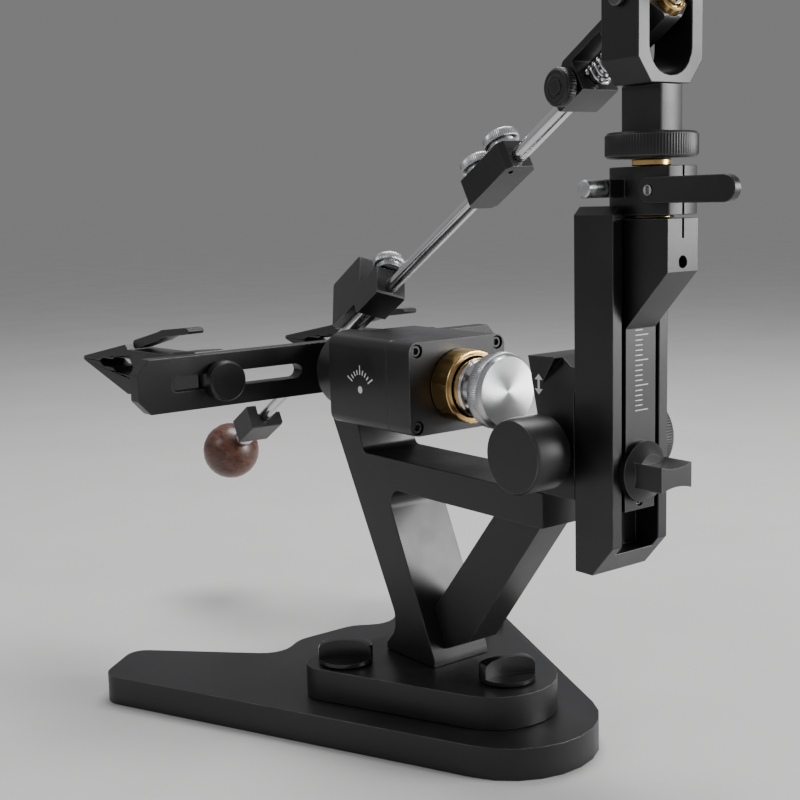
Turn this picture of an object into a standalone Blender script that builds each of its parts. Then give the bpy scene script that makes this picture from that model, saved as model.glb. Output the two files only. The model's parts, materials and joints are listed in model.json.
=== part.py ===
"""Guided-rod knife sharpener: a clamp-bar frame that turns on its stand, and a hinged rod on a lifting column.

Millimetres below, metres in the scene. X is the width, Y runs from the user (-) to the column (+), Z is up.
The origin is on the table, under the middle of the stand's foot. Every plane X = 0 is the middle of the stand.
"""

import math

import bmesh
import bpy
from mathutils import Matrix, Vector

MM = 0.001
GAP = 0.3

# Heights below are counted from a plane this far above the table
LIFT = 2.0

# Stand
BASE_TOP = 16.4
PLATE_TOP = 36.0
FRAME_HALF = 20.9
FRAME_BACK = 116.3
BAR_LOW = 138.4
BAR_HIGH = 157.4
KNOB_PLACES = {"right": (53.0, -22.0, 138.0), "left": (-53.0, -22.0, 20.0), "rear": (0.0, 64.0, 163.0)}

# Turning head: its axis runs along Y
AXIS_Z = 204.1
HOUSING_HALF = (36.2, 27.0)
HOUSING_FRONT = -53.7
HOUSING_SEAM = 4.3
HOUSING_REAR = 25.6
COVER_SCREW_OFFSET = (30.5, 22.0)
SHAFT_R = 9.0
HUB_R = 25.2

# Clamp bar and clamps
BAR_REAR = -99.8
BAR_FRONT = -109.8
BAR_HALF_X = 142.0
BAR_HALF_Z = 16.6
SLOT_NEAR = 26.0
SLOT_FAR = 120.0
SLOT_HALF = 4.6
CLAMP_X = 86.0
CLAMP_HALF = 10.0
JAW_TIP = -279.5
JAW_CREST = -210.0
LEVER_Y = -203.4
LEVER_RISE = 14.8
LEVER_R = 3.0

# Column
COLUMN_HALF = 20.0
COLUMN_FRONT = 139.1
COLUMN_REAR = 165.3
COLUMN_LOW = 120.5
COLUMN_TOP = 305.5
CHANNEL_HALF = 13.4
CHANNEL_FLOOR = 150.0
ARM_HALF = 10.8
CROSS_Y = 125.0
CROSS_Z = 182.2
WING_Z = 174.2
PINION_R = 13.4
BRACKET_FRONT = 105.5

# Head of the column: its axis is vertical
HEAD_Y = 171.6
BLOCK_LOW = 300.9
BLOCK_HIGH = 323.9
WHEEL_LOW = 327.6
WHEEL_HIGH = 340.0
WHEEL_R = 21.8
POST_HALF = (8.1, 12.5)
YOKE_LOW = 361.9
YOKE_HALF = (20.9, 12.5)
YOKE_SLOT = 13.6
YOKE_TOP = 412.0

# Rod: its line passes through PIVOT, the pin it tilts on is above that, and it rests on the clamp bar
PIVOT = (0.0, HEAD_Y, 392.3)
PIN_RISE = 9.7
ROD_SWING = math.radians(-4.0)
ROD_TILT = math.radians(30.51)
HOLDER_ROLL = math.radians(-20.0)
ROD_R = 4.3
ROD_TOP = 70.0
GUIDE_END = 12.0
BALL_T = -545.0
BALL_R = 22.2


def clear_scene():
    for obj in list(bpy.data.objects):
        bpy.data.objects.remove(obj, do_unlink=True)


def material(name, colour, roughness, metallic):
    made = bpy.data.materials.new(name)
    made.use_nodes = True
    shader = made.node_tree.nodes["Principled BSDF"]
    shader.inputs["Base Color"].default_value = (*colour, 1.0)
    shader.inputs["Roughness"].default_value = roughness
    shader.inputs["Metallic"].default_value = metallic
    return made


def black_anodised():
    return material("black_anodised", (0.018, 0.018, 0.02), 0.42, 0.6)


def black_plastic():
    return material("black_plastic", (0.02, 0.02, 0.021), 0.5, 0.0)


def polished_steel():
    return material("polished_steel", (0.72, 0.72, 0.73), 0.12, 1.0)


def turned_aluminium():
    return material("turned_aluminium", (0.62, 0.63, 0.64), 0.28, 1.0)


def brass():
    return material("brass", (0.72, 0.47, 0.16), 0.25, 1.0)


def walnut():
    return material("walnut", (0.11, 0.045, 0.025), 0.45, 0.0)


def empty(name, place, rotation=(0.0, 0.0, 0.0), parent=None):
    made = bpy.data.objects.new(name, None)
    made.location = Vector(place) * MM
    made.rotation_euler = rotation
    made.parent = parent
    if parent is None:
        made.location.z += LIFT * MM
    bpy.context.scene.collection.objects.link(made)
    return made


def put(name, mesh_maker, origin, stuff, parent=None):
    """A new object whose mesh mesh_maker builds in millimetres, with its origin at the given point."""
    shape = bmesh.new()
    mesh_maker(shape)
    bmesh.ops.translate(shape, verts=shape.verts, vec=-Vector(origin))
    bmesh.ops.scale(shape, verts=shape.verts, vec=(MM, MM, MM))
    bmesh.ops.recalc_face_normals(shape, faces=shape.faces)
    mesh = bpy.data.meshes.new(name)
    shape.to_mesh(mesh)
    shape.free()
    made = bpy.data.objects.new(name, mesh)
    made.location = Vector(origin) * MM
    made.parent = parent
    if parent is None:
        made.location.z += LIFT * MM
    if stuff:
        mesh.materials.append(stuff)
    bpy.context.scene.collection.objects.link(made)
    return made


def smooth(obj, degrees=35.0):
    obj.data.shade_smooth()
    obj.data.set_sharp_from_angle(angle=math.radians(degrees))
    return obj


def filleted(corners, step=15.0):
    """An outline through (a, b, radius) corners, each one rounded by an arc of its radius."""
    points = []
    count = len(corners)
    for i, (a, b, radius) in enumerate(corners):
        corner = Vector((a, b))
        if radius <= 0:
            points.append(corner)
            continue
        before = (Vector(corners[i - 1][:2]) - corner).normalized()
        after = (Vector(corners[(i + 1) % count][:2]) - corner).normalized()
        half = before.angle(after) / 2
        centre = corner + (before + after).normalized() * (radius / math.sin(half))
        start = corner + before * (radius / math.tan(half)) - centre
        turn = start.angle_signed(corner + after * (radius / math.tan(half)) - centre)
        steps = max(1, round(abs(math.degrees(turn)) / step))
        for k in range(steps + 1):
            angle = -turn * k / steps
            points.append(centre + Matrix.Rotation(angle, 2) @ start)
    return points


AXES = {
    "X": lambda a, b, c: (c, a, b),
    "Y": lambda a, b, c: (a, c, b),
    "Z": lambda a, b, c: (a, b, c),
}


def prism(outline, axis, low, high):
    """Extrudes an outline along an axis. The outline's two coordinates are the other two axes, in order."""

    def make(shape):
        turn = AXES[axis]
        face = shape.faces.new([shape.verts.new(turn(p[0], p[1], low)) for p in outline])
        grown = bmesh.ops.extrude_face_region(shape, geom=[face])
        moved = [v for v in grown["geom"] if isinstance(v, bmesh.types.BMVert)]
        bmesh.ops.translate(shape, verts=moved, vec=turn(0.0, 0.0, high - low))

    return make


def wedge(front, rear):
    """A solid between two triangles."""

    def make(shape):
        first, second = [[shape.verts.new(corner) for corner in triangle] for triangle in (front, rear)]
        shape.faces.new(first)
        shape.faces.new(second)
        for k in range(3):
            after = (k + 1) % 3
            shape.faces.new((first[k], first[after], second[after]))
            shape.faces.new((first[k], second[after], second[k]))

    return make


def block(low, high):
    outline = [(low[0], low[1]), (high[0], low[1]), (high[0], high[1]), (low[0], high[1])]
    return prism(outline, "Z", low[2], high[2])


def circle(centre, radius, count):
    angles = [2 * math.pi * k / count for k in range(count)]
    return [(centre[0] + radius * math.cos(a), centre[1] + radius * math.sin(a)) for a in angles]


def turned(profile, centre, axis, count=32):
    """Spins (radius, along) points about an axis through centre. A point at radius 0 closes the end."""
    ends = {"X": (1, 2, 0), "Y": (2, 0, 1), "Z": (0, 1, 2)}[axis]

    def spot(radius, along, angle):
        place = [0.0, 0.0, 0.0]
        place[ends[0]] = radius * math.cos(angle)
        place[ends[1]] = radius * math.sin(angle)
        place[ends[2]] = along
        return Vector(centre) + Vector(place)

    def make(shape):
        rings = []
        for radius, along in profile:
            if radius == 0:
                rings.append([shape.verts.new(spot(0, along, 0))])
            else:
                rings.append([shape.verts.new(spot(radius, along, 2 * math.pi * k / count)) for k in range(count)])
        pairs = list(zip(rings, rings[1:]))
        if profile[0][0] > 0:
            pairs.append((rings[-1], rings[0]))
        for first, second in pairs:
            for k in range(count):
                ring = [first[k % len(first)], first[(k + 1) % len(first)]]
                ring += [second[(k + 1) % len(second)], second[k % len(second)]]
                shape.faces.new(list(dict.fromkeys(ring)))

    return make


def rod_shape(radius, low, high, chamfer=0.0):
    """The profile of a plain solid bar for turned()."""
    if chamfer:
        return [(0, low), (radius - chamfer, low), (radius, low + chamfer), (radius, high - chamfer),
                (radius - chamfer, high), (0, high)]
    return [(0, low), (radius, low), (radius, high), (0, high)]


def tube_shape(inner, outer, low, high, chamfer=0.0):
    """The profile of a plain ring for turned()."""
    return [(inner, low), (outer - chamfer, low), (outer, low + chamfer), (outer, high - chamfer),
            (outer - chamfer, high), (inner, high)]


def boolean(obj, other, operation):
    modifier = obj.modifiers.new(other.name, "BOOLEAN")
    modifier.object = other
    modifier.operation = operation
    modifier.solver = "EXACT"
    other.hide_render = True
    other.display_type = "WIRE"


def cut(obj, mesh_maker):
    tool = put(obj.name + "_cutter", mesh_maker, (0, 0, 0), None, obj.parent)
    boolean(obj, tool, "DIFFERENCE")


def join(obj, mesh_maker):
    tool = put(obj.name + "_addition", mesh_maker, (0, 0, 0), None, obj.parent)
    boolean(obj, tool, "UNION")


def mirrored(corners):
    """A closed outline from its half at X > 0, given as (x, y, radius) from the top down."""
    return corners + [(-x, y, r) for x, y, r in reversed(corners) if x > 0]


def make_base(dark):
    half = [(0.0, 192.4, 52.0), (153.2, -150.0, 14.0), (117.0, -180.0, 12.0), (46.0, -106.0, 18.0),
            (22.0, -121.5, 20.0)]
    put("base_plate", prism(filleted(mirrored(half)), "Z", -LIFT, BASE_TOP), (0, 0, 0), dark)


def make_raised_plate(dark):
    half = [(0.0, 145.0, 37.4), (82.7, -43.0, 15.0)]
    plate = put("raised_plate", prism(filleted(mirrored(half)), "Z", BASE_TOP + GAP, PLATE_TOP), (0, 0, 0), dark)
    for x, y, _ in KNOB_PLACES.values():
        cut(plate, prism(circle((x, y), 4.3, 16), "Z", 26.0, 40.0))


def make_thumb_knobs(dark):
    """A domed knob scooped out on both sides to an upright waisted grip, on a stud that goes down into the plate."""
    disc_top = PLATE_TOP + 3.5
    radius = 16.5
    profile = [(0, 26.5), (4.0, 26.5), (4.0, PLATE_TOP + GAP), (15.4, PLATE_TOP + GAP), (radius, PLATE_TOP + 1.4),
               (radius, disc_top + 6.0), (15.4, disc_top + 7.8), (11.5, disc_top + 9.4), (6.0, disc_top + 10.2),
               (0, disc_top + 10.4)]
    for name, (x, y, angle) in KNOB_PLACES.items():
        holder = empty("thumb_knob_axis_" + name, (x, y, 0), (0, 0, math.radians(angle)))
        knob = put("thumb_knob_" + name, turned(profile, (0, 0, 0), "Z", 28), (0, 0, 0), dark, holder)
        for side in (-1, 1):
            scoop = [(a, side * (1.8 + 3.4 * (a / radius) ** 2)) for a in (-18, -14, -10, -5, 0, 5, 10, 14, 18)]
            scoop += [(18, side * 20), (-18, side * 20)]
            cut(knob, prism(scoop, "Z", disc_top, disc_top + 14.0))


def make_stand_frame(dark):
    """Foot, leaning leg, top bar and the upright plate behind the housing, machined from one piece."""
    outline = filleted([
        (-23.2, PLATE_TOP + GAP, 0), (23.2, PLATE_TOP + GAP, 0), (23.6, 40.5, 0), (-20.5, BAR_LOW, 9.0),
        (FRAME_BACK, BAR_LOW, 0), (FRAME_BACK, BAR_HIGH, 0), (-42.0, BAR_HIGH, 5.0), (-48.0, 176.8, 0),
        (-74.8, 176.8, 0), (-14.5, 61.0, 10.0), (-14.5, 50.0, 12.0), (-23.2, 40.5, 0),
    ])
    put("stand_frame", prism(outline, "X", -FRAME_HALF, FRAME_HALF), (0, 0, 0), dark)


def make_brace(dark):
    """The strut from the foot's inner face to the underside of the top bar."""
    low = Vector((23.6, 40.5))
    along = (Vector((-20.5, BAR_LOW)) - low).normalized()
    off = Vector((along.y, -along.x)) * GAP
    start = low + along * 5.0 + off
    end = low + along * 30.0 + off
    outline = [start, (43.5, 55.0), (106.5, BAR_LOW - GAP), (69.0, BAR_LOW - GAP), end]
    put("diagonal_brace", prism(outline, "X", -10.6, 10.6), (0, 0, 0), dark)


def make_housing(dark):
    """A block with rounded corners and a bore for the spindle, closed at the rear by a cover with four screw holes."""
    half_x, half_z = HOUSING_HALF
    low_z = AXIS_Z - half_z
    high_z = AXIS_Z + half_z
    outline = filleted([(half_x, low_z, 6), (half_x, high_z, 6), (-half_x, high_z, 6), (-half_x, low_z, 6)], 22.5)
    body = put("housing_body", prism(outline, "Y", HOUSING_FRONT, HOUSING_SEAM - GAP), (0, 0, 0), dark)
    cover = put("housing_cover", prism(outline, "Y", HOUSING_SEAM, HOUSING_REAR), (0, 0, 0), dark)
    axis = (0, 0, AXIS_Z)
    cut(body, turned(rod_shape(17.3, HOUSING_FRONT - 5, HOUSING_SEAM + 5), axis, "Y", 24))
    cut(cover, turned(rod_shape(17.3, HOUSING_SEAM - 5, HOUSING_REAR + 5), axis, "Y", 24))
    for x in (-1, 1):
        for z in (-1, 1):
            place = (x * COVER_SCREW_OFFSET[0], 0, AXIS_Z + z * COVER_SCREW_OFFSET[1])
            cut(cover, turned(rod_shape(4.1, HOUSING_REAR - 5.0, HOUSING_REAR + 5.0), place, "Y", 12))


def make_spindle(steel, silver, gold, dark):
    """Spindle on two bearings, with the flange that carries the bar in front and the turning knob behind."""
    axis = (0, 0, AXIS_Z)
    bearing = tube_shape(SHAFT_R + GAP, 17.0, 0, 12.0)
    for name, y in (("front_bearing", HOUSING_FRONT + 4.0), ("rear_bearing", HOUSING_SEAM + 5.0)):
        profile = [(r, y + t) for r, t in bearing]
        smooth(put(name, turned(profile, axis, "Y", 20), axis, steel))
    ring = tube_shape(17.8, 21.3, HOUSING_REAR + GAP, 40.6, 0.7)
    smooth(put("spindle_bush", turned(ring, axis, "Y", 32), axis, gold))
    shaft = [(0, HOUSING_FRONT - 4.0), (SHAFT_R, HOUSING_FRONT - 4.0), (SHAFT_R, 27.0), (17.0, 27.0), (17.0, 45.0),
             (16.2, 45.8), (16.2, 48.0), (17.0, 48.8), (17.0, 53.0), (13.5, 54.0), (13.5, 56.2), (0, 56.2)]
    smooth(put("spindle", turned(shaft, axis, "Y", 28), axis, steel))
    knob = [(0, 56.5), (19.2, 56.5), (21.4, 57.6), (21.4, 65.2), (20.4, 65.9), (19.4, 67.8), (0, 67.8)]
    smooth(put("turning_knob", turned(knob, axis, "Y", 48), axis, silver))
    flange = [(0, -99.5), (15.0, -99.5), (15.0, -86.0), (23.2, -86.0), (HUB_R, -84.0), (HUB_R, -60.0),
              (23.6, HOUSING_FRONT - 4.3), (0, HOUSING_FRONT - 4.3)]
    smooth(put("bar_flange", turned(flange, axis, "Y", 32), axis, dark))


def make_clamp_bar(dark):
    half = [(BAR_HALF_X - 2, AXIS_Z + BAR_HALF_Z - 7), (BAR_HALF_X - 8, AXIS_Z + BAR_HALF_Z)]
    corners = [(BAR_HALF_X, AXIS_Z - 8), (BAR_HALF_X, AXIS_Z + 8), half[1], (-half[1][0], half[1][1]),
               (-BAR_HALF_X, AXIS_Z + 8), (-BAR_HALF_X, AXIS_Z - 8), (-half[1][0], AXIS_Z - BAR_HALF_Z),
               (half[1][0], AXIS_Z - BAR_HALF_Z)]
    bar = put("clamp_bar", prism(corners, "Y", BAR_FRONT, BAR_REAR), (0, 0, AXIS_Z), dark)
    for side in (-1, 1):
        ends = [(side * SLOT_NEAR, -1), (side * SLOT_FAR, -1), (side * SLOT_FAR, 1), (side * SLOT_NEAR, 1)]
        slot = filleted([(x, AXIS_Z + z * SLOT_HALF, SLOT_HALF - 0.1) for x, z in ends], 30)
        cut(bar, prism(slot, "Y", BAR_FRONT - 5, BAR_REAR + 5))


def make_clamp(side, dark, steel):
    """One clamp: a block keyed in the bar's slot, two jaws on a cross pin, a cam lever and a knob behind."""
    label = "right" if side > 0 else "left"
    x = side * CLAMP_X
    low_x = x - CLAMP_HALF
    high_x = x + CLAMP_HALF
    holder = put("clamp_block_" + label, prism(filleted([
        (-142.0, AXIS_Z - 15.5, 3), (BAR_FRONT - GAP, AXIS_Z - 15.5, 2), (BAR_FRONT - GAP, AXIS_Z + 17.5, 4),
        (-142.0, AXIS_Z + 14.5, 2)], 30), "X", low_x, high_x), (x, -126, AXIS_Z), dark)
    key = (x - 8, BAR_FRONT - 3, AXIS_Z - SLOT_HALF + GAP), (x + 8, BAR_REAR + 2.0, AXIS_Z + SLOT_HALF - GAP)
    join(holder, block(*key))
    groove = [(-178.0 + 3.1 * math.cos(a), AXIS_Z - 3.1 * math.sin(a)) for a in
              (math.pi * k / 6 for k in range(7))]
    z = AXIS_Z
    lower = [(-142.3, z - 0.4), (-142.3, z - 15.0), (JAW_CREST, z - 19.5), (-276.0, z - 1.8), (JAW_TIP, z - GAP / 2),
             (-252.0, z - GAP / 2), (-246.0, z - 3.0), (-231.0, z - 3.0), (-227.0, z - 6.0), (-204.0, z - 6.0),
             (-200.0, z - 0.4), (groove[-1][0], z - 0.4)]
    lower += [(a, b - 0.4) for a, b in reversed(groove[1:-1])] + [(groove[0][0], z - 0.4)]
    put("lower_jaw_" + label, prism(lower, "X", low_x, high_x), (x, -178, z), dark)
    upper = [(-144.0, z + 4.2), (groove[0][0], z + 0.4)]
    upper += [(a, 2 * z - b + 0.4) for a, b in groove[1:-1]] + [(groove[-1][0], z + 0.4)]
    upper += [(-200.0, z + 0.4), (-204.0, z + 5.0), (-227.0, z + 5.0), (-231.0, z + 2.6), (-246.0, z + 2.6),
              (-252.0, z + GAP / 2), (JAW_TIP, z + GAP / 2), (-276.0, z + 2.0), (JAW_CREST, z + 14.5),
              (JAW_CREST + 3.0, z + 11.3), (-144.0, z + 12.5)]
    put("upper_jaw_" + label, prism(upper, "X", low_x, high_x), (x, -178, z), dark)
    pin = rod_shape(2.6, -CLAMP_HALF, CLAMP_HALF)
    smooth(put("jaw_pin_" + label, turned(pin, (x, -178, z), "X", 12), (x, -178, z), steel))
    pivot = (LEVER_Y, z + LEVER_RISE)
    lever = [(pivot[0] - LEVER_R * math.sin(a), pivot[1] - LEVER_R * math.cos(a)) for a in
             (math.pi * k / 6 for k in range(7))]
    lever += [(-170.0, z + 25.2), (-164.0, z + 27.0), (-134.0, z + 30.2), (-129.0, z + 30.0), (-127.5, z + 28.3),
              (-129.0, z + 26.6), (-134.0, z + 25.8), (-161.0, z + 22.6), (-170.0, z + 19.4), (-196.0, z + 13.6)]
    put("clamp_lever_" + label, prism(lever, "X", x - 5.5, x + 5.5), (x, *pivot), dark)
    knob = [(0, BAR_REAR + 2.3), (11.2, BAR_REAR + 2.3), (12.5, BAR_REAR + 3.4), (12.5, BAR_REAR + 9.2),
            (11.3, BAR_REAR + 10.4), (0, BAR_REAR + 10.4)]
    smooth(put("clamp_knob_" + label, turned(knob, (x, 0, z), "Y", 32), (x, 0, z), dark))


def make_bracket(dark):
    """The bracket on the end of the top bar that carries the cross shaft and guides the column."""
    outline = [(BRACKET_FRONT + 2.0, BAR_HIGH + GAP), (COLUMN_FRONT - GAP, BAR_HIGH + GAP),
               (COLUMN_FRONT - GAP, 224.0), (132.0, 225.4), (124.0, 230.0), (BRACKET_FRONT, 229.5), (112.6, 197.5),
               (BRACKET_FRONT, 170.0)]
    bracket = put("column_bracket", prism(outline, "X", -COLUMN_HALF, COLUMN_HALF), (0, 0, 0), dark)
    cut(bracket, turned(rod_shape(8.3, -30, 30), (0, CROSS_Y, CROSS_Z), "X", 24))
    cut(bracket, turned(rod_shape(PINION_R + 0.5, -8.5, 8.5), (0, CROSS_Y, CROSS_Z), "X", 32))
    edge = COLUMN_HALF + 0.5
    front = [(edge, 114.5, 213.5), (edge, 127.5, 233.0), (12.5, 127.5, 233.0)]
    rear = [(edge, 146.0, 210.0), (edge, 146.0, 233.0), (12.5, 146.0, 233.0)]
    cut(bracket, wedge(front, rear))


def make_cross_shaft(dark, steel):
    """The pinion shaft across the bracket: a lock knob at one end and a fine knurled drive knob at the other."""
    centre = (0, CROSS_Y, CROSS_Z)
    shaft = [(0, -28.0), (5.0, -28.0), (5.0, -20.2), (8.0, -20.2), (8.0, -8.0), (PINION_R, -8.0), (PINION_R, 8.0),
             (8.0, 8.0), (8.0, 20.2), (0, 20.2)]
    smooth(put("pinion_shaft", turned(shaft, centre, "X", 24), centre, steel))
    drive = [(5.3, -48.5), (20.4, -48.5), (21.8, -46.5), (21.8, -27.2), (20.8, -26.0), (14.0, -26.0), (14.0, -20.4),
             (5.3, -20.4)]
    smooth(put("lift_knob", turned(drive, centre, "X", 40), centre, dark))
    lock = [(0, 20.6), (12.0, 20.6), (12.0, 26.0), (17.4, 26.0), (19.6, 28.5), (19.6, 48.0), (18.6, 50.0), (0, 50.0)]
    smooth(put("lock_knob", turned(lock, centre, "X", 48), centre, dark))


def make_column(dark):
    """A channel open to the rear, with its corners cut back at the top and at the bottom."""
    side = [(COLUMN_FRONT, COLUMN_LOW), (150.9, COLUMN_LOW), (COLUMN_REAR, 137.1), (COLUMN_REAR, COLUMN_TOP),
            (COLUMN_FRONT, COLUMN_TOP)]
    column = put("column", prism(side, "X", -COLUMN_HALF, COLUMN_HALF), (0, 0, 0), dark)
    for s in (-1, 1):
        wedge = [(s * 15.5, COLUMN_TOP + 0.5), (s * 15.5, COLUMN_TOP + 5), (s * 25, COLUMN_TOP + 5),
                 (s * 25, COLUMN_TOP - 9.0)]
        cut(column, prism(wedge, "Y", COLUMN_FRONT - 5, COLUMN_REAR + 5))
    profile = [(-CHANNEL_HALF, COLUMN_REAR + 5), (-CHANNEL_HALF, CHANNEL_FLOOR), (CHANNEL_HALF, CHANNEL_FLOOR),
               (CHANNEL_HALF, COLUMN_REAR + 5)]
    cut(column, prism(profile, "Z", COLUMN_LOW + 12.0, COLUMN_TOP + 5))


def make_slide_arm(dark):
    """The bar in the channel: it leans out to the rear at the top and ends in the block under the head."""
    outline = [(CHANNEL_FLOOR + GAP, 166.5), (COLUMN_REAR, 166.5), (COLUMN_REAR, 246.0), (191.3, 274.1),
               (191.3, BLOCK_LOW - 1.6), (152.4, BLOCK_LOW - 1.6), (CHANNEL_FLOOR + GAP, 292.0)]
    arm = put("slide_arm", prism(outline, "X", -ARM_HALF, ARM_HALF), (0, 0, 0), dark)
    cut(arm, block((-0.7, 184.0, 290.0), (0.7, 195.0, 302.0)))
    cut(arm, turned(rod_shape(3.0, 184.0, 195.0), (0, 0, 278.8), "Y", 16))
    cut(arm, turned(rod_shape(4.4, 145.0, 170.0), (0, 0, WING_Z), "Y", 16))


def make_wing_knob(dark):
    """The knob that clamps the slide arm, with an upright waisted grip, and the arm's stop in the channel."""
    centre = (0, 0, WING_Z)
    hub = [(0, 153.0), (4.0, 153.0), (4.0, COLUMN_REAR + GAP), (15.5, COLUMN_REAR + GAP), (15.5, 168.5),
           (12.5, 171.0), (9.5, 173.0), (0, 173.0)]
    knob = put("wing_knob", turned(hub, centre, "Y", 32), centre, dark)
    places = [10.9 * k / 5 for k in range(-5, 6)]
    outline = [(x, WING_Z + 4.6 + 1.8 * (x / 10.9) ** 2) for x in places]
    outline += [(x, WING_Z - 4.6 - 1.8 * (x / 10.9) ** 2) for x in reversed(places)]
    join(knob, prism(outline, "Y", 167.0, 188.6))
    smooth(knob)
    stop = put("travel_stop", block((-ARM_HALF, CHANNEL_FLOOR + GAP, 154.3), (ARM_HALF, 164.8, 166.0)),
               (0, 0, 0), dark)
    cut(stop, turned(rod_shape(2.5, 160.0, 170.0), (0, 0, 158.4), "Y", 16))


def make_head(dark, steel, silver, gold):
    """The split block on top of the slide arm, with the fine height wheel and the post that it lifts."""
    low_y = HEAD_Y - 19.4
    high_y = HEAD_Y + 19.7
    outline = filleted([(-ARM_HALF, low_y, 4), (ARM_HALF, low_y, 4), (ARM_HALF, high_y, 1.5), (-ARM_HALF, high_y, 1.5)],
                       45)
    head = put("head_block", prism(outline, "Z", BLOCK_LOW, BLOCK_HIGH), (0, HEAD_Y, BLOCK_LOW), dark)
    cut(head, block((-0.7, HEAD_Y, BLOCK_LOW - 5), (0.7, high_y + 5, BLOCK_HIGH + 5)))
    cut(head, turned(rod_shape(5.4, BLOCK_LOW - 5, BLOCK_HIGH + 5), (0, HEAD_Y, 0), "Z", 24))
    join(head, block((ARM_HALF - 1, 155.6, 309.6), (ARM_HALF + 10, 164.2, 318.2)))
    nut = rod_shape(4.3, ARM_HALF + 10.3, ARM_HALF + 24.0, 0.6)
    smooth(put("stop_nut", turned(nut, (0, 159.9, 313.9), "X", 24), (0, 159.9, 313.9), silver))
    washer = tube_shape(5.3, 11.0, BLOCK_LOW - 1.3, BLOCK_LOW - GAP)
    smooth(put("lower_washer", turned(washer, (0, HEAD_Y, 0), "Z", 24), (0, HEAD_Y, 0), gold))
    collar = tube_shape(5.3, 9.5, BLOCK_HIGH + GAP, WHEEL_LOW - GAP)
    smooth(put("wheel_collar", turned(collar, (0, HEAD_Y, 0), "Z", 24), (0, HEAD_Y, 0), gold))
    wheel = [(5.3, WHEEL_LOW), (WHEEL_R - 1, WHEEL_LOW), (WHEEL_R, WHEEL_LOW + 1), (WHEEL_R, WHEEL_HIGH - 1),
             (WHEEL_R - 1, WHEEL_HIGH), (5.3, WHEEL_HIGH)]
    smooth(put("height_wheel", turned(wheel, (0, HEAD_Y, 0), "Z", 48), (0, HEAD_Y, 0), dark))
    screw = rod_shape(5.0, BLOCK_LOW + 0.4, WHEEL_HIGH + 0.5)
    post = put("hinge_post", turned(screw, (0, HEAD_Y, 0), "Z", 24), (0, HEAD_Y, 0), dark)
    half_x, half_y = POST_HALF
    shape = filleted([(-half_x, -half_y, 1.5), (half_x, -half_y, 1.5), (half_x, half_y, 1.5), (-half_x, half_y, 1.5)],
                     45)
    shape = [(p[0], p[1] + HEAD_Y) for p in shape]
    join(post, prism(shape, "Z", WHEEL_HIGH + GAP, YOKE_LOW - GAP))


def make_cam_lever(dark, silver):
    """The lever that squeezes the split block shut, on its slotted pivot screw."""
    pivot = (0, 183.1, 312.7)
    turn = [math.pi * k / 8 for k in range(9)]
    outline = [(-6.0 * math.sin(a), -6.0 * math.cos(a)) for a in turn]
    outline += [(44.0 + 6.2 * math.sin(a), 6.2 * math.cos(a)) for a in turn]
    lever = put("cam_lever", prism([(pivot[1] + a, pivot[2] + b) for a, b in outline], "X",
                                   ARM_HALF + GAP, ARM_HALF + 4.8), pivot, dark)
    cut(lever, turned(rod_shape(2.8, ARM_HALF - 2, ARM_HALF + 8), pivot, "X", 20))
    screw = rod_shape(2.5, ARM_HALF + GAP, ARM_HALF + 5.2)
    smooth(put("lever_screw", turned(screw, pivot, "X", 20), pivot, silver))


def make_yoke(dark, silver, swing):
    """The U that swings on the post and holds the rod guide between its ears."""
    half_x, half_y = YOKE_HALF
    base = YOKE_LOW - PIVOT[2]
    outline = [(-12.6, base), (12.6, base), (half_x, base + 11.3), (half_x, YOKE_TOP - PIVOT[2]),
               (YOKE_SLOT, YOKE_TOP - PIVOT[2])]
    outline += [(YOKE_SLOT * math.cos(a), base + 17.0 - 13.4 * math.sin(a)) for a in
                (math.pi * k / 12 for k in range(13))]
    outline += [(-YOKE_SLOT, YOKE_TOP - PIVOT[2]), (-half_x, YOKE_TOP - PIVOT[2]), (-half_x, base + 11.3)]
    yoke = put("yoke", prism(outline, "Y", -half_y, half_y), (0, 0, 0), dark, swing)
    pin = (0, 0, PIN_RISE)
    bore = put("yoke_bore", turned(rod_shape(3.3, -30, 30), pin, "X", 20), (0, 0, 0), None, swing)
    boolean(yoke, bore, "DIFFERENCE")
    hole = put("yoke_hole", turned(rod_shape(2.6, base - 5, 0), (0, 0, 0), "Z", 16), (0, 0, 0), None, swing)
    boolean(yoke, hole, "DIFFERENCE")
    bolt = [(0, base - 0.2), (2.2, base - 0.2), (2.2, base + 4.7), (4.0, base + 4.7), (4.0, base + 6.8), (0, base + 6.8)]
    smooth(put("swing_bolt", turned(bolt, (0, 0, 0), "Z", 20), (0, 0, 0), silver, swing))
    for label, side in (("left", -1), ("right", 1)):
        screw = [(0, 12.4), (3.0, 12.4), (3.0, 21.2), (5.2, 21.2), (5.2, 23.4), (4.4, 24.0), (0, 24.0)]
        profile = [(r, side * t) for r, t in screw]
        smooth(put("tilt_screw_" + label, turned(profile, pin, "X", 20), pin, silver, swing))


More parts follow.
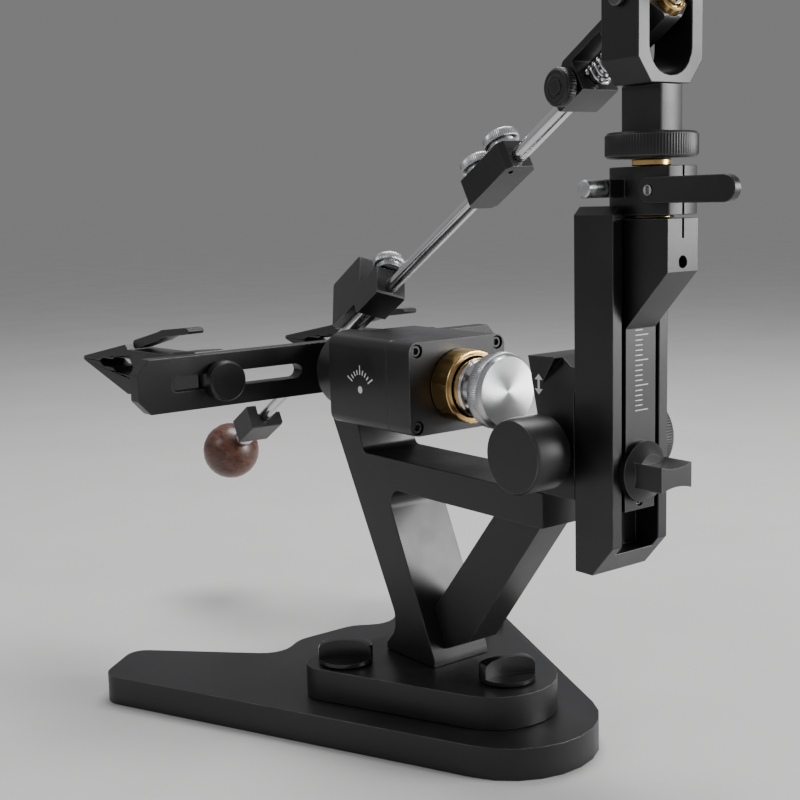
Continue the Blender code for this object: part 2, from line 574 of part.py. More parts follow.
def make_rod_guide(dark, steel, gold, line):
    """The long block that the rod runs through: its window holds a coil spring and its knob a brake pad."""
    outline = filleted([(-66.0, -7.8, 2), (GUIDE_END, -7.8, 2), (GUIDE_END, 12.7, 3), (-51.0, 12.7, 2),
                        (-66.0, 2.0, 3)], 30)
    pin = (0, PIN_RISE * math.sin(ROD_TILT), PIN_RISE * math.cos(ROD_TILT))
    guide = put("rod_guide", prism(outline, "X", -12.0, 12.0), pin, dark, line)
    cutters = {
        "guide_bore": turned(rod_shape(ROD_R + 0.6, -80, 50), (0, 0, 0), "Y", 24),
        "guide_seat": turned(rod_shape(7.3, GUIDE_END - 8.0, 50.0), (0, 0, 0), "Y", 24),
        "guide_window": block((-20.0, -45.5, -30.0), (20.0, -22.0, 9.0)),
        "guide_edge_left": prism([(-4.6, -7.9), (-12.3, -0.2), (-16.0, -12.0)], "Y", -21.5, 50.0),
        "guide_edge_right": prism([(4.6, -7.9), (16.0, -12.0), (12.3, -0.2)], "Y", -21.5, 50.0),
        "guide_pin_bore": turned(rod_shape(3.0, -30, -ROD_R - 3), pin, "X", 20),
        "guide_pin_bore_2": turned(rod_shape(3.0, ROD_R + 3, 30), pin, "X", 20),
    }
    for name, maker in cutters.items():
        boolean(guide, put(name, maker, (0, 0, 0), None, line), "DIFFERENCE")
    bush = tube_shape(ROD_R + 0.5, 7.0, GUIDE_END - 7.7, GUIDE_END + 4.0, 0.6)
    smooth(put("guide_bush", turned(bush, (0, 0, 0), "Y", 32), (0, 0, 0), gold, line))
    knob = [(0, 12.3), (8.0, 12.3), (9.4, 13.2), (9.4, 18.6), (8.4, 19.6), (6.0, 19.6), (5.6, 18.9), (4.2, 18.9),
            (3.8, 19.8), (0, 19.8)]
    smooth(put("brake_knob", turned(knob, (0, -55.0, 0), "X", 32), (0, -55.0, 0), dark, line))
    coil_r = 6.6
    turns = 6.0
    points = []
    steps = int(turns * 10)
    for k in range(steps + 1):
        angle = 2 * math.pi * turns * k / steps
        points.append((coil_r * math.cos(angle), -44.2 + 21.0 * k / steps, coil_r * math.sin(angle)))
    curve = bpy.data.curves.new("guide_spring", "CURVE")
    curve.dimensions = "3D"
    curve.bevel_depth = 0.9 * MM
    curve.bevel_resolution = 1
    curve.use_fill_caps = True
    spline = curve.splines.new("POLY")
    spline.points.add(steps)
    for point, place in zip(spline.points, points):
        point.co = (*(Vector(place) * MM), 1.0)
    curve.materials.append(steel)
    spring = bpy.data.objects.new("guide_spring", curve)
    spring.parent = line
    bpy.context.scene.collection.objects.link(spring)


def make_rod(steel, silver, wood, dark, line):
    """The polished rod with its wooden ball, its stop, and the two holders that grip a sharpening stone."""
    end = BALL_T + BALL_R - 4.0
    rod = [(0, end), (3.0, end), (3.0, end + 6.0), (ROD_R, end + 6.0), (ROD_R, ROD_TOP - 0.8), (ROD_R - 0.8, ROD_TOP),
           (0, ROD_TOP)]
    smooth(put("guide_rod", turned(rod, (0, 0, 0), "Y", 24), (0, 0, 0), steel, line))
    arc = [math.radians(a) for a in range(-90, 91, 15)]
    ball = [(BALL_R * math.cos(a), BALL_R * math.sin(a)) for a in arc]
    ball[0] = (0, -BALL_R)
    ball[-1] = (3.3, BALL_R - 0.3)
    ball += [(3.3, BALL_R - 5.0), (0, BALL_R - 5.0)]
    profile = [(r, BALL_T + t) for r, t in ball]
    smooth(put("ball_grip", turned(profile, (0, 0, 0), "Y", 24), (0, 0, 0), wood, line), 60)

    def bored(name, maker, parent):
        made = put(name, maker, (0, 0, 0), dark, parent)
        bore = turned(rod_shape(ROD_R + GAP, -600, 100), (0, 0, 0), "Y", 24)
        boolean(made, put(name + "_bore", bore, (0, 0, 0), None, parent), "DIFFERENCE")
        return made

    stop = [(13.0, -9.0), (13.0, 9.0), (5.4, 9.0), (5.4, 2.0), (-13.0, 2.0), (-13.0, -7.0), (-11.0, -9.0)]
    bored("rod_stop", prism(stop, "Y", -503.0, -474.0), line)
    roll = empty("holder_roll", (0, 0, 0), (0.0, HOLDER_ROLL, 0.0), line)
    lower = filleted([(-333, 2, 1), (-300, 2, 0), (-296, -7, 2), (-267, -7, 2), (-267, 13.4, 2), (-292, 13.4, 0),
                      (-292, 35, 2), (-333, 35, 2)], 45)
    bored("lower_holder", prism(lower, "X", -10.0, 10.0), roll)
    upper = [(-10, -157.5), (-7, -160.5), (7, -160.5), (10, -157.5), (10, -119.5), (7, -116.5), (-7, -116.5),
             (-10, -119.5)]
    holder = bored("upper_holder", prism(upper, "Z", -7.0, 9.5), line)
    cut(holder, turned(rod_shape(1.6, -12.0, -5.0), (4.6, -122.5, 0), "Z", 12))
    shape = [(0, 0), (7.8, 0), (7.8, 2.8), (9.9, 3.4), (9.9, 8.0), (9.2, 8.8), (0, 8.8)]
    screws = {"lower": (-270.0, 13.7, roll), "upper_1": (-150.0, 9.8, line), "upper_2": (-125.5, 9.8, line)}
    for name, (t, foot, parent) in screws.items():
        screw = [(r, foot + h) for r, h in shape]
        smooth(put("holder_screw_" + name, turned(screw, (0, t, 0), "Z", 28), (0, t, 0), silver, parent))


def main():
    clear_scene()
    dark = black_anodised()
    steel = polished_steel()
    silver = turned_aluminium()
    gold = brass()
    make_base(dark)
    make_raised_plate(dark)
    make_thumb_knobs(black_plastic())
    make_stand_frame(dark)
    make_brace(dark)
    make_housing(dark)
    make_spindle(steel, silver, gold, dark)
    make_clamp_bar(dark)
    for side in (-1, 1):
        make_clamp(side, dark, steel)
    make_bracket(dark)
    make_cross_shaft(dark, steel)
    make_column(dark)
    make_slide_arm(dark)
    make_wing_knob(dark)
    make_head(dark, steel, silver, gold)
    make_cam_lever(dark, silver)
    swing = empty("swing_axis", PIVOT, (0.0, 0.0, ROD_SWING))
    tilt = empty("tilt_axis", (PIVOT[0], PIVOT[1], PIVOT[2] + PIN_RISE), (ROD_TILT, 0.0, ROD_SWING))
    line = empty("rod_line", (0, -PIN_RISE * math.sin(ROD_TILT), -PIN_RISE * math.cos(ROD_TILT)), parent=tilt)
    make_yoke(dark, silver, swing)
    make_rod_guide(dark, steel, gold, line)
    make_rod(steel, silver, walnut(), dark, line)


main()
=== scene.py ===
"""Looks of the guided-rod knife sharpener: materials, small trim, camera, light and floor. Metres, +Z up."""

import json
import math

import bmesh
import bpy
from mathutils import Matrix, Vector


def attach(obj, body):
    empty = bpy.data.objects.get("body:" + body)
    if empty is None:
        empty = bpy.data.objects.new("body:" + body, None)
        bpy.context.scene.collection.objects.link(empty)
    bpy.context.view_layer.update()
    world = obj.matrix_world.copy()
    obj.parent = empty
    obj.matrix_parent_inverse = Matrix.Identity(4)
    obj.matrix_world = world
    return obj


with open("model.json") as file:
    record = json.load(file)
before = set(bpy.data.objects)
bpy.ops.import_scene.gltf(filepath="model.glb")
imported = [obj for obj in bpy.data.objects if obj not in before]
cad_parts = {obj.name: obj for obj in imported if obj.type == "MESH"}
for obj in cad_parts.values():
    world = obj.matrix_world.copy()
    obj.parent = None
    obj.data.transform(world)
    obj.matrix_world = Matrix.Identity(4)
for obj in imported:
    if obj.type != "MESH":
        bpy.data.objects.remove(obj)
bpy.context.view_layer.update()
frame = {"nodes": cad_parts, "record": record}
nodes = frame["nodes"]

# Sizes below are in millimetres. Heights are counted from a plane that lies LIFT above the table.
MM = 0.001
LIFT = 2.0
AXIS_Z = 204.1
HEAD_AXIS = (0.0, 0.0, AXIS_Z)
CROSS = (0.0, 125.0, 182.2)
POST_AXIS = (0.0, 171.6, 0.0)
ROD_PIVOT = (0.0, 171.6, 394.3)
ROD_SWING = math.radians(-4.0)
ROD_TILT = math.radians(30.51)
HOLDER_ROLL = math.radians(-20.0)

# A space for the pieces that stand upright, one along the rod, and one turned with the lower holder
UPRIGHT = Matrix.Translation((0.0, 0.0, LIFT))
ROD_SPACE = (Matrix.Translation(ROD_PIVOT) @ Matrix.Rotation(ROD_SWING, 4, "Z")
             @ Matrix.Rotation(ROD_TILT, 4, "X"))
ROLLED_SPACE = ROD_SPACE @ Matrix.Rotation(HOLDER_ROLL, 4, "Y")

TOOTH_HEIGHT = 0.35
WHEEL_R = 21.8
TURNING_KNOB_R = 21.4
TURNING_KNOB_FACE = 67.9
HOLDER_SCREW_R = 9.9
BRAKE_KNOB_R = 9.4
HOUSING_SIDE = 36.25
DIAL_CENTRE = (-22.0, AXIS_Z - 4.0)
ARM_FACE = 165.32
MARK_THICKNESS = 0.06

# Metres
NODE_BEVEL = 0.00055
FLOOR_HALF = 30.0
FLOOR_GAP = 0.0002
CAMERA_PLACE = (0.48271, 0.59748, 0.31435)
CAMERA_RIGHT = Vector((-0.79025, 0.61226, -0.02545))
CAMERA_UP = Vector((-0.11426, -0.10642, 0.98774))
CAMERA_LOOK = Vector((-0.60204, -0.78347, -0.15405))
CAMERA_LENS = 58.5


# ---- materials ----


class Nodes:
    """A small helper that adds shader nodes to one material."""

    def __init__(self, name):
        self.stuff = bpy.data.materials.new(name)
        self.stuff.use_nodes = True
        self.tree = self.stuff.node_tree
        self.shader = self.tree.nodes["Principled BSDF"]

    def add(self, kind, **inputs):
        made = self.tree.nodes.new("ShaderNode" + kind)
        for key, value in inputs.items():
            made.inputs[key].default_value = value
        return made

    def link(self, out, into):
        self.tree.links.new(out, into)

    def noise(self, scale, detail, stretch=(1.0, 1.0, 1.0)):
        made = self.add("TexNoise", Scale=scale, Detail=detail, Roughness=0.6)
        where = self.add("TexCoord")
        mapping = self.add("Mapping")
        mapping.inputs["Scale"].default_value = stretch
        self.link(where.outputs["Object"], mapping.inputs["Vector"])
        self.link(mapping.outputs["Vector"], made.inputs["Vector"])
        return made

    def ramp(self, source, low, high, start=0.35, end=0.65):
        made = self.add("MapRange")
        made.inputs["From Min"].default_value = start
        made.inputs["From Max"].default_value = end
        made.inputs["To Min"].default_value = low
        made.inputs["To Max"].default_value = high
        self.link(source, made.inputs["Value"])
        return made.outputs["Result"]

    def mix(self, amount, first, second):
        """Colour between two constants, or between a constant and a socket."""
        made = self.tree.nodes.new("ShaderNodeMix")
        made.data_type = "RGBA"
        self.link(amount, made.inputs["Factor"])
        for value, socket in ((first, made.inputs[6]), (second, made.inputs[7])):
            if isinstance(value, tuple):
                socket.default_value = (*value, 1.0)
            else:
                self.link(value, socket)
        return made.outputs[2]

    def edges(self, radius):
        """About 0 on flat faces and 1 on edges, broken up by noise. The colour mixed in with it is edge wear,
        and on the black anodised parts also a painted edge highlight.
        """
        round_edge = self.add("Bevel", Radius=radius)
        round_edge.samples = 4
        plain = self.add("NewGeometry")
        dot = self.tree.nodes.new("ShaderNodeVectorMath")
        dot.operation = "DOT_PRODUCT"
        self.link(round_edge.outputs["Normal"], dot.inputs[0])
        self.link(plain.outputs["Normal"], dot.inputs[1])
        bent = self.tree.nodes.new("ShaderNodeMath")
        bent.operation = "SUBTRACT"
        bent.inputs[0].default_value = 1.0
        self.link(dot.outputs["Value"], bent.inputs[1])
        patchy = self.ramp(self.noise(90.0, 3.0).outputs["Fac"], 0.25, 1.0)
        # Mask for lighter edges: real wear, and on the anodised black a painted highlight.
        edge_wear_and_highlight_mask = self.tree.nodes.new("ShaderNodeMath")
        edge_wear_and_highlight_mask.operation = "MULTIPLY"
        self.link(self.ramp(bent.outputs[0], 0.0, 1.0, 0.02, 0.16), edge_wear_and_highlight_mask.inputs[0])
        self.link(patchy, edge_wear_and_highlight_mask.inputs[1])
        return edge_wear_and_highlight_mask.outputs[0]

    def bump(self, height, strength, distance):
        made = self.add("Bump", Strength=strength, Distance=distance)
        self.link(height, made.inputs["Height"])
        self.link(made.outputs["Normal"], self.shader.inputs["Normal"])


def anodised(name, colour, rough, edge_wear_and_highlight_colour, grain):
    """Bead-blasted black anodised aluminium: fine grain, faint clouding, and smoother edges painted lighter,
    partly as wear and partly as a painted highlight.
    """
    n = Nodes(name)
    cloud = n.noise(16.0, 4.0).outputs["Fac"]
    fine = n.noise(2600.0, 3.0).outputs["Fac"]
    lighter = tuple(c * 1.7 + 0.001 for c in colour)
    base = n.mix(n.ramp(cloud, 0.0, 1.0), colour, lighter)
    edge_wear_and_highlight_mask = n.edges(0.0008)
    # Lighter edge colour: partly wear, partly a painted highlight that stands in for the glint on rounded
    # edges.
    n.link(n.mix(edge_wear_and_highlight_mask, base, edge_wear_and_highlight_colour), n.shader.inputs["Base Color"])
    smoother = n.add("MapRange")
    smoother.inputs["To Max"].default_value = 0.22
    n.link(edge_wear_and_highlight_mask, smoother.inputs["Value"])
    n.link(n.ramp(cloud, rough - 0.05, rough + 0.07), smoother.inputs["To Min"])
    n.link(smoother.outputs["Result"], n.shader.inputs["Roughness"])
    n.shader.inputs["Metallic"].default_value = 0.0
    n.shader.inputs["Specular IOR Level"].default_value = 0.5
    n.bump(fine, grain, 0.00006)
    return n.stuff


def moulded(name, colour, rough):
    n = Nodes(name)
    cloud = n.noise(30.0, 3.0).outputs["Fac"]
    base = n.mix(n.ramp(cloud, 0.0, 1.0), colour, tuple(c * 1.4 for c in colour))
    n.link(n.mix(n.edges(0.0006), base, (0.07, 0.07, 0.072)), n.shader.inputs["Base Color"])
    n.link(n.ramp(cloud, rough - 0.04, rough + 0.06), n.shader.inputs["Roughness"])
    n.bump(n.noise(1500.0, 2.0).outputs["Fac"], 0.15, 0.00005)
    return n.stuff


def bare_metal(name, colour, rough, stretch=(1.0, 1.0, 1.0), scratch=0.12, edge=None):
    """Bare turned or polished metal: faint streaks along one way and slightly dulled patches."""
    n = Nodes(name)
    patches = n.noise(22.0, 3.0).outputs["Fac"]
    streaks = n.noise(240.0, 4.0, stretch).outputs["Fac"]
    base = n.mix(n.ramp(patches, 0.0, 1.0), colour, tuple(c * 0.82 for c in colour))
    n.link(n.mix(n.edges(0.0004), base, edge or tuple(min(1.0, c * 1.15) for c in colour)),
           n.shader.inputs["Base Color"])
    n.link(n.ramp(streaks, rough * 0.75, rough * 1.4), n.shader.inputs["Roughness"])
    n.shader.inputs["Metallic"].default_value = 1.0
    n.bump(streaks, scratch, 0.00004)
    return n.stuff


def faced_metal(name, centre, rough):
    """Turned face of the big knob: fine rings about its axis and soft fans of light."""
    n = Nodes(name)
    where = n.add("TexCoord")
    shift = n.add("Mapping")
    shift.inputs["Location"].default_value = tuple(-c * MM for c in centre)
    n.link(where.outputs["Object"], shift.inputs["Vector"])
    rings = n.tree.nodes.new("ShaderNodeTexWave")
    rings.wave_type = "RINGS"
    rings.rings_direction = "Y"
    rings.inputs["Scale"].default_value = 900.0
    rings.inputs["Distortion"].default_value = 0.6
    n.link(shift.outputs["Vector"], rings.inputs["Vector"])
    patches = n.ramp(n.noise(40.0, 3.0).outputs["Fac"], 0.0, 1.0)
    n.link(n.mix(patches, (0.60, 0.61, 0.62), (0.74, 0.75, 0.76)), n.shader.inputs["Base Color"])
    tangent = n.add("Tangent")
    tangent.direction_type = "RADIAL"
    tangent.axis = "Y"
    n.shader.inputs["Metallic"].default_value = 1.0
    n.shader.inputs["Anisotropic"].default_value = 0.85
    n.link(tangent.outputs["Tangent"], n.shader.inputs["Tangent"])
    n.link(n.ramp(rings.outputs["Fac"], rough * 0.85, rough * 1.2, 0.0, 1.0), n.shader.inputs["Roughness"])
    n.bump(rings.outputs["Fac"], 0.05, 0.00002)
    return n.stuff


def wooden(name):
    """Dark red-brown oiled wood with fine grain lines."""
    n = Nodes(name)
    where = n.add("TexCoord")
    turn = n.add("Mapping")
    turn.inputs["Rotation"].default_value = (0.7, 0.3, 0.2)
    turn.inputs["Scale"].default_value = (1.0, 0.16, 1.0)
    n.link(where.outputs["Object"], turn.inputs["Vector"])
    broad = n.add("TexNoise", Scale=190.0, Detail=5.0, Roughness=0.65, Distortion=1.2)
    fine = n.add("TexNoise", Scale=1100.0, Detail=3.0, Roughness=0.6)
    n.link(turn.outputs["Vector"], broad.inputs["Vector"])
    n.link(turn.outputs["Vector"], fine.inputs["Vector"])
    grain = n.mix(n.ramp(broad.outputs["Fac"], 0.0, 1.0), (0.035, 0.012, 0.008), (0.15, 0.055, 0.032))
    pores = n.mix(n.ramp(fine.outputs["Fac"], 0.0, 0.6, 0.55, 0.75), grain, (0.02, 0.008, 0.006))
    n.link(pores, n.shader.inputs["Base Color"])
    n.link(n.ramp(broad.outputs["Fac"], 0.32, 0.48), n.shader.inputs["Roughness"])
    n.shader.inputs["Coat Weight"].default_value = 0.25
    n.shader.inputs["Coat Roughness"].default_value = 0.25
    n.bump(fine.outputs["Fac"], 0.15, 0.00008)
    return n.stuff


def printed(name):
    """Pale grey marking, slightly uneven."""
    n = Nodes(name)
    cloud = n.noise(400.0, 3.0).outputs["Fac"]
    shade = n.mix(n.ramp(cloud, 0.0, 1.0), (0.62, 0.62, 0.61), (0.78, 0.78, 0.77))
    n.link(shade, n.shader.inputs["Base Color"])
    n.link(n.ramp(cloud, 0.45, 0.6), n.shader.inputs["Roughness"])
    n.bump(cloud, 0.05, 0.00003)
    return n.stuff


# The 0.17 edge colour is partly wear and partly a painted edge highlight.
BLACK = anodised("black_anodised_metal", (0.0055, 0.0055, 0.0062), 0.37, (0.17, 0.17, 0.175), 0.3)
PLASTIC = moulded("black_moulded_plastic", (0.007, 0.007, 0.0075), 0.3)
STEEL = bare_metal("polished_steel", (0.74, 0.74, 0.76), 0.15, (0.05, 1.0, 1.0), 0.008)
SILVER = bare_metal("turned_aluminium", (0.60, 0.61, 0.62), 0.3, (1.0, 1.0, 1.0), 0.15)
DARK_STEEL = bare_metal("dark_steel", (0.16, 0.16, 0.165), 0.35)
BRASS = bare_metal("turned_brass", (0.80, 0.53, 0.20), 0.2, (1.0, 0.04, 1.0), 0.12, (0.95, 0.72, 0.36))
FACE = faced_metal("turned_face", (0, 66.0, AXIS_Z + LIFT), 0.3)
WOOD = wooden("stained_wood")
PRINT = printed("pale_marking")

SLOT_STUFF = {"black_anodised": BLACK, "black_plastic": PLASTIC, "polished_steel": STEEL,
              "turned_aluminium": SILVER, "brass": BRASS, "stained_wood": WOOD}


# ---- shapes ----


def piece(name, build, stuff, body, space=UPRIGHT):
    """A new riding mesh that build(bmesh) makes in millimetres in the given space."""
    shape = bmesh.new()
    build(shape)
    bmesh.ops.transform(shape, matrix=Matrix.Scale(MM, 4) @ space, verts=shape.verts)
    bmesh.ops.recalc_face_normals(shape, faces=shape.faces)
    mesh = bpy.data.meshes.new(name)
    shape.to_mesh(mesh)
    shape.free()
    made = bpy.data.objects.new(name, mesh)
    bpy.context.scene.collection.objects.link(made)
    mesh.materials.append(stuff)
    mesh.shade_smooth()
    mesh.set_sharp_from_angle(angle=math.radians(35.0))
    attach(made, body)
    return made


ORDER = {"X": (1, 2, 0), "Y": (2, 0, 1), "Z": (0, 1, 2)}


def placed(centre, axis, radius, angle, along):
    spot = [0.0, 0.0, 0.0]
    first, second, third = ORDER[axis]
    spot[first] = radius * math.cos(angle)
    spot[second] = radius * math.sin(angle)
    spot[third] = along
    return Vector(centre) + Vector(spot)


def lathe(profile, centre, axis, count=48):
    """Spins (radius, along) points; radius 0 closes an end, otherwise the last ring joins the first."""

    def build(shape):
        rings = []
        for radius, along in profile:
            steps = 1 if radius == 0 else count
            rings.append([shape.verts.new(placed(centre, axis, radius, 2 * math.pi * k / count, along))
                          for k in range(steps)])
        pairs = list(zip(rings, rings[1:]))
        if profile[0][0] > 0:
            pairs.append((rings[-1], rings[0]))
        for a, b in pairs:
            for k in range(count):
                ring = [a[k % len(a)], a[(k + 1) % len(a)], b[(k + 1) % len(b)], b[k % len(b)]]
                shape.faces.new(list(dict.fromkeys(ring)))

    return build


def knurled(radius, low, high, teeth, centre, axis, depth=TOOTH_HEIGHT):
    """A thin sleeve with straight teeth, rounded down at both ends."""
    bevel = min(0.5, (high - low) / 6)
    rows = [(radius - 0.6, low, 0.0), (radius, low, 0.0), (radius, low + bevel, depth),
            (radius, high - bevel, depth), (radius, high, 0.0), (radius - 0.6, high, 0.0)]
    count = teeth * 4

    def build(shape):
        rings = []
        for base, along, tall in rows:
            ring = []
            for k in range(count):
                lift = tall if k % 4 in (1, 2) else 0.0
                ring.append(shape.verts.new(placed(centre, axis, base + 0.03 + lift,
                                                   2 * math.pi * (k + (0.3 if k % 2 else 0)) / count, along)))
            rings.append(ring)
        for a, b in zip(rings, rings[1:] + rings[:1]):
            for k in range(count):
                shape.faces.new((a[k], a[(k + 1) % count], b[(k + 1) % count], b[k]))

    return build


def prism(outline, axis, low, high):
    """Extrudes an outline along X or Z. The outline is given in the other two axes, in order."""
    turn = {"X": lambda p, c: (c, p[0], p[1]), "Z": lambda p, c: (p[0], p[1], c)}

    def build(shape):
        ends = [[shape.verts.new(turn[axis](p, c)) for p in outline] for c in (low, high)]
        shape.faces.new(ends[0])
        shape.faces.new(ends[1][::-1])
        count = len(outline)
        for k in range(count):
            shape.faces.new((ends[0][k], ends[0][(k + 1) % count], ends[1][(k + 1) % count], ends[1][k]))

    return build


def block(low, high):
    outline = [(low[0], low[1]), (high[0], low[1]), (high[0], high[1]), (low[0], high[1])]
    return prism(outline, "Z", low[2], high[2])


def together(*builders):
    def build(shape):
        for one in builders:
            one(shape)

    return build


def circle(centre, radius, count):
    return [(centre[0] + radius * math.cos(2 * math.pi * k / count),
             centre[1] + radius * math.sin(2 * math.pi * k / count)) for k in range(count)]


# ---- the frame's own nodes ----


def dress_nodes():
    slots = {part["node"]: part["material_slot"] for part in frame["record"]["subparts"]}
    round_ones = ("ball_grip", "guide_spring")
    for name, obj in nodes.items():
        mesh = obj.data
        mesh.materials.clear()
        mesh.materials.append(DARK_STEEL if name.startswith("tilt_screw") else SLOT_STUFF[slots[name]])
        if mesh.has_custom_normals:
            bpy.context.view_layer.objects.active = obj
            with bpy.context.temp_override(object=obj, active_object=obj):
                bpy.ops.mesh.customdata_custom_splitnormals_clear()
        weld = obj.modifiers.new("weld", "WELD")
        weld.merge_threshold = 0.00001
        mesh.shade_smooth()
        if name in round_ones:
            continue
        bevel = obj.modifiers.new("bevel", "BEVEL")
        bevel.width = NODE_BEVEL
        bevel.segments = 2
        bevel.limit_method = "ANGLE"
        bevel.angle_limit = math.radians(32)
        bevel.harden_normals = True
        bevel.use_clamp_overlap = True


def fine_knurls():
    """Fine knurling on the black wheels and on the holder screws."""
    piece("height_wheel_knurl", knurled(WHEEL_R, 328.8, 338.8, 96, POST_AXIS, "Z"), BLACK, "height_wheel")
    piece("lift_knob_knurl", knurled(WHEEL_R, -46.2, -27.5, 96, CROSS, "X"), BLACK, "pinion")
    piece("brake_knob_knurl", knurled(BRAKE_KNOB_R, 13.4, 18.4, 44, (0, -55.0, 0), "X"), BLACK, "brake_knob",
          ROD_SPACE)
    for name, t, low, space in (("holder_screw_lower", -270.0, 17.2, ROLLED_SPACE),
                                ("holder_screw_upper_1", -150.0, 13.3, ROD_SPACE),
                                ("holder_screw_upper_2", -125.5, 13.3, ROD_SPACE)):
        piece(name + "_knurl", knurled(HOLDER_SCREW_R, low, low + 4.4, 60, (0, t, 0), "Z"), SILVER, name,
              space)


def turning_knob_trim():
    """Knurled rim and turned face of the turning knob."""
    piece("turning_knob_knurl", knurled(TURNING_KNOB_R, 57.8, 65.0, 110, HEAD_AXIS, "Y", 0.4), SILVER,
          "turning_head")
    near = TURNING_KNOB_FACE
    face = [(0, near), (19.2, near), (19.6, near + 0.2), (0, near + 0.25)]
    piece("turning_knob_face", lathe(face, HEAD_AXIS, "Y", 96), FACE, "turning_head")


def socket_screw(name, radius, top, centre, body, stuff):
    """A round screw head with a hexagonal socket, facing the rear."""
    inner = radius * 0.55
    bottom = top - 3.0
    head = [(radius - 0.6, top), (radius, top - 0.6), (radius, bottom), (inner, bottom), (inner, top)]
    seat = [(0, top - 2.0), (inner + 0.2, top - 2.0), (inner + 0.2, bottom), (0, bottom)]
    piece(name, together(lathe(head, centre, "Y", 24), lathe(seat, centre, "Y", 6)), stuff, body)


def small_screws():
    for x in (-1, 1):
        for z in (-1, 1):
            name = "cover_screw_%s_%s" % ("right" if x > 0 else "left", "top" if z > 0 else "bottom")
            socket_screw(name, 3.7, 24.4, (x * 30.5, 0, AXIS_Z + z * 22.0), "stand", BLACK)
    socket_screw("travel_stop_screw", 2.3, 163.8, (0, 0, 158.4), "column", DARK_STEEL)
    slot = block((15.75, 182.3, 310.6), (16.25, 183.9, 314.8))
    piece("lever_screw_slot", slot, DARK_STEEL, "slide_arm")


def dial_marks():
    """Nine ticks in an arc over a dot, on the side of the housing."""
    near_side = HOUSING_SIDE
    far_side = HOUSING_SIDE + MARK_THICKNESS
    centre_y, centre_z = DIAL_CENTRE
    marks = []
    for k in range(9):
        angle = math.radians(150 - 15 * k)
        across = Vector((-math.sin(angle), math.cos(angle))) * 0.45
        along = Vector((math.cos(angle), math.sin(angle)))
        a = along * 9.0
        b = along * (12.0 if k % 4 else 14.5)
        corners = [a - across, b - across, b + across, a + across]
        outline = [(centre_y + c.x, centre_z + c.y) for c in corners]
        marks.append(prism(outline, "X", near_side, far_side))
    marks.append(prism(circle(DIAL_CENTRE, 2.2, 24), "X", near_side, far_side))
    piece("housing_dial_marks", together(*marks), PRINT, "stand")


def markings():
    """Plain marks: the dial, a height scale on the slide arm and a double arrow on the bracket."""
    dial_marks()
    ticks = []
    for k in range(21):
        z = 205.0 + 2.5 * k
        length = 9.2 if k % 5 == 0 else 5.2
        ticks.append(block((4.0 - length, ARM_FACE, z - 0.22), (4.0, ARM_FACE + MARK_THICKNESS, z + 0.22)))
    piece("arm_height_scale", together(*ticks), PRINT, "slide_arm")
    arrow = [(110.5, 217.4), (113.5, 220.4), (116.5, 217.4), (114.3, 217.4), (114.3, 212.6), (116.5, 212.6),
             (113.5, 209.6), (110.5, 212.6), (112.7, 212.6), (112.7, 217.4)]
    piece("bracket_arrow_mark", prism(arrow, "X", 20.02, 20.08), PRINT, "stand")


def rod_trim():
    """Ferrule between the rod and the ball."""
    ferrule = [(4.5, -511.3), (6.2, -511.3), (6.8, -512.8), (6.8, -518.3), (6.0, -521.3), (4.5, -521.3)]
    piece("ball_ferrule", lathe(ferrule, (0, 0, 0), "Y", 32), STEEL, "rod", ROD_SPACE)


# ---- stage ----


def stage_material():
    n = Nodes("pale_floor")
    cloud = n.noise(6.0, 3.0).outputs["Fac"]
    shade = n.mix(n.ramp(cloud, 0.0, 1.0), (0.60, 0.59, 0.58), (0.63, 0.62, 0.61))
    n.link(shade, n.shader.inputs["Base Color"])
    n.link(n.ramp(cloud, 0.6, 0.7), n.shader.inputs["Roughness"])
    n.shader.inputs["Specular IOR Level"].default_value = 0.0
    n.bump(n.noise(700.0, 2.0).outputs["Fac"], 0.03, 0.0002)
    return n.stuff


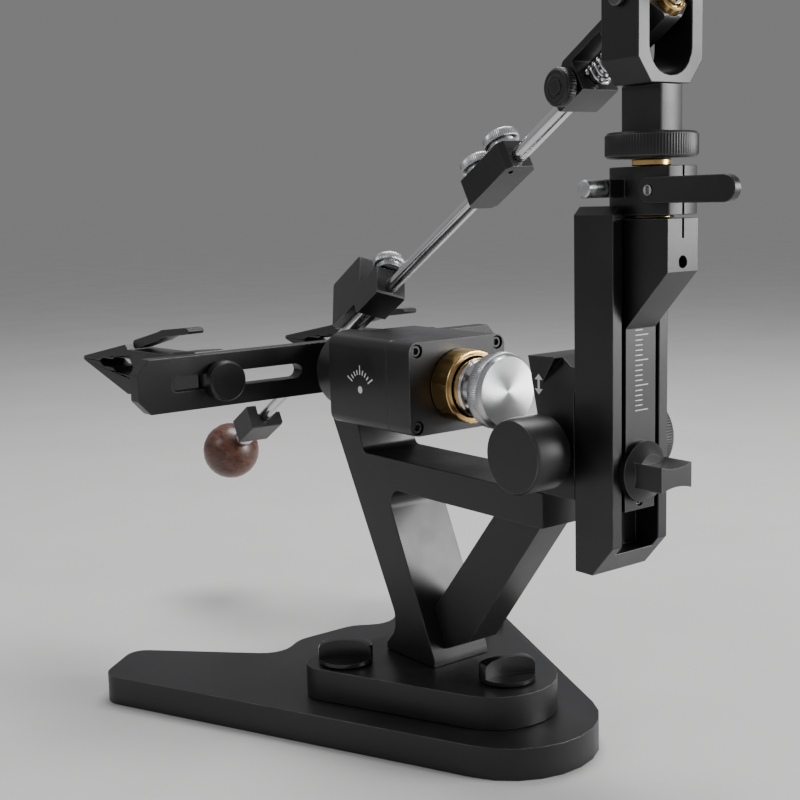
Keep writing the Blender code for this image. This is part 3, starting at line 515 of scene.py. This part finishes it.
def floor():
    mesh = bpy.data.meshes.new("floor")
    corners = [(x * FLOOR_HALF, y * FLOOR_HALF, 0) for x, y in ((-1, -1), (1, -1), (1, 1), (-1, 1))]
    mesh.from_pydata(corners, [], [(0, 1, 2, 3)])
    made = bpy.data.objects.new("floor", mesh)
    made.location = (0, 0, -FLOOR_GAP)
    mesh.materials.append(stage_material())
    bpy.context.scene.collection.objects.link(made)


def area_light(name, place, target, size, power):
    lamp = bpy.data.lights.new(name, "AREA")
    lamp.shape = "RECTANGLE"
    lamp.size, lamp.size_y = size
    lamp.energy = power
    made = bpy.data.objects.new(name, lamp)
    made.location = place
    made.rotation_mode = "QUATERNION"
    made.rotation_quaternion = (Vector(target) - Vector(place)).to_track_quat("-Z", "Y")
    bpy.context.scene.collection.objects.link(made)


def studio_world():
    """Even grey light. The camera sees it in the tone of the far floor, so the two meet softly."""
    world = bpy.data.worlds.new("studio")
    world.use_nodes = True
    tree = world.node_tree
    path = tree.nodes.new("ShaderNodeLightPath")
    tint = tree.nodes.new("ShaderNodeMix")
    tint.data_type = "RGBA"
    tint.inputs[6].default_value = (0.60, 0.60, 0.62, 1.0)
    tint.inputs[7].default_value = (0.37, 0.366, 0.368, 1.0)
    background = tree.nodes["Background"]
    tree.links.new(path.outputs["Is Camera Ray"], tint.inputs["Factor"])
    tree.links.new(tint.outputs[2], background.inputs["Color"])
    background.inputs["Strength"].default_value = 0.55
    bpy.context.scene.world = world


def lights():
    area_light("rear_softbox", (-1.25, 1.5, 0.62), (0, 0.08, 0.24), (0.9, 0.9), 42.0)
    area_light("top_softbox", (-0.4, -0.3, 1.7), (0, 0, 0.1), (0.9, 0.7), 26.0)
    area_light("front_fill", (1.5, -0.5, 1.3), (0, 0, 0.2), (0.5, 0.5), 5.0)


def camera():
    lens = bpy.data.cameras.new("camera")
    lens.lens = CAMERA_LENS
    lens.sensor_width = 36.0
    lens.clip_start = 0.02
    made = bpy.data.objects.new("camera", lens)
    place = Matrix((CAMERA_RIGHT, CAMERA_UP, -CAMERA_LOOK)).transposed().to_4x4()
    place.translation = Vector(CAMERA_PLACE)
    made.matrix_world = place
    bpy.context.scene.collection.objects.link(made)
    bpy.context.scene.camera = made


dress_nodes()
fine_knurls()
turning_knob_trim()
small_screws()
markings()
rod_trim()
floor()
studio_world()
lights()
camera()
